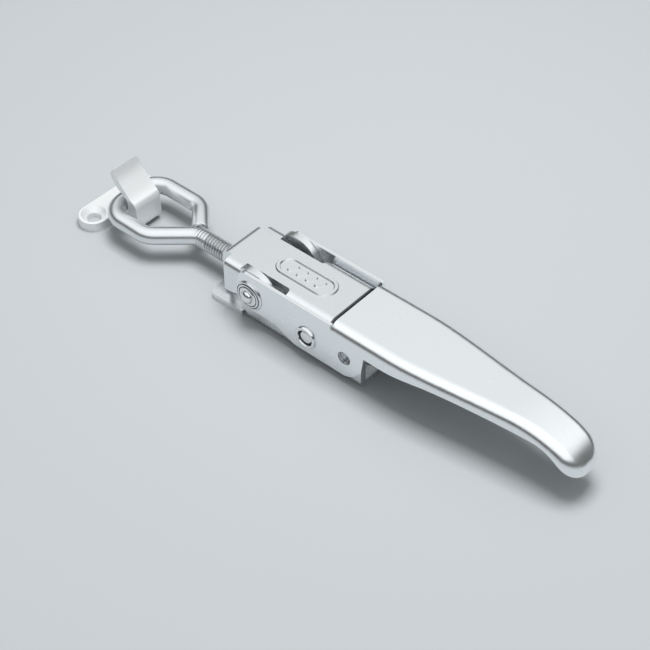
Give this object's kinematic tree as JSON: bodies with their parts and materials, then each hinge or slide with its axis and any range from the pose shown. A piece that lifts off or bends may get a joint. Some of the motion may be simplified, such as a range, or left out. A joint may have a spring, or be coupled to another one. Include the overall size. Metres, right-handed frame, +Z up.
{
  "type": "toggle bolt latch",
  "caption": "Over-centre toggle latch: a long sheet-metal lever draws a threaded eye bolt tight over a hook keeper.",
  "frame": {"origin": "on the mounting plane under the fixed pivot, in the centre plane", "axes": "+X from the keeper towards the handle's tip, +Y across the latch along the pivot pins, +Z up off the mounting surface"},
  "size_m": [0.3567, 0.0584, 0.0402],
  "materials": {
    "plated_sheet": "bright zinc plated sheet, smooth satin",
    "plated_plate": "zinc plated plate, soft satin",
    "pin_steel": "bright turned and plated",
    "bolt_steel": "plated round bar with a cut thread",
    "keeper_steel": "pale satin with fine brush lines"
  },
  "bodies": {
    "base": {"base_bracket": "plated_plate", "pivot_pin": "pin_steel", "pivot_washers": "pin_steel", "keeper_hook": "keeper_steel"},
    "lever": {"lever_handle": "plated_sheet", "link_pin": "pin_steel"},
    "link": {"link_yoke": "plated_plate", "anchor_nut": "plated_plate"},
    "bolt": {"eye_bolt": "bolt_steel"}
  },
  "joints": [
    {"name": "lever_pivot", "type": "hinge", "parent": "base", "child": "lever", "pos_m": [0, 0, 0.0227], "axis": [0, -1, 0], "range_deg": [0, 76]},
    {"name": "link_pivot", "type": "hinge", "parent": "lever", "child": "link", "pos_m": [0.0422, 0, 0.0171], "axis": [0, -1, 0], "range_deg": [-60, 0]},
    {"name": "bolt_adjust", "type": "slide", "parent": "link", "child": "bolt", "axis": [-1, 0, 0], "range_m": [0, 0.004]}
  ],
  "couplings": [
    {"joint": "link_pivot", "follows": "lever_pivot", "ratio": -0.7845}
  ]
}
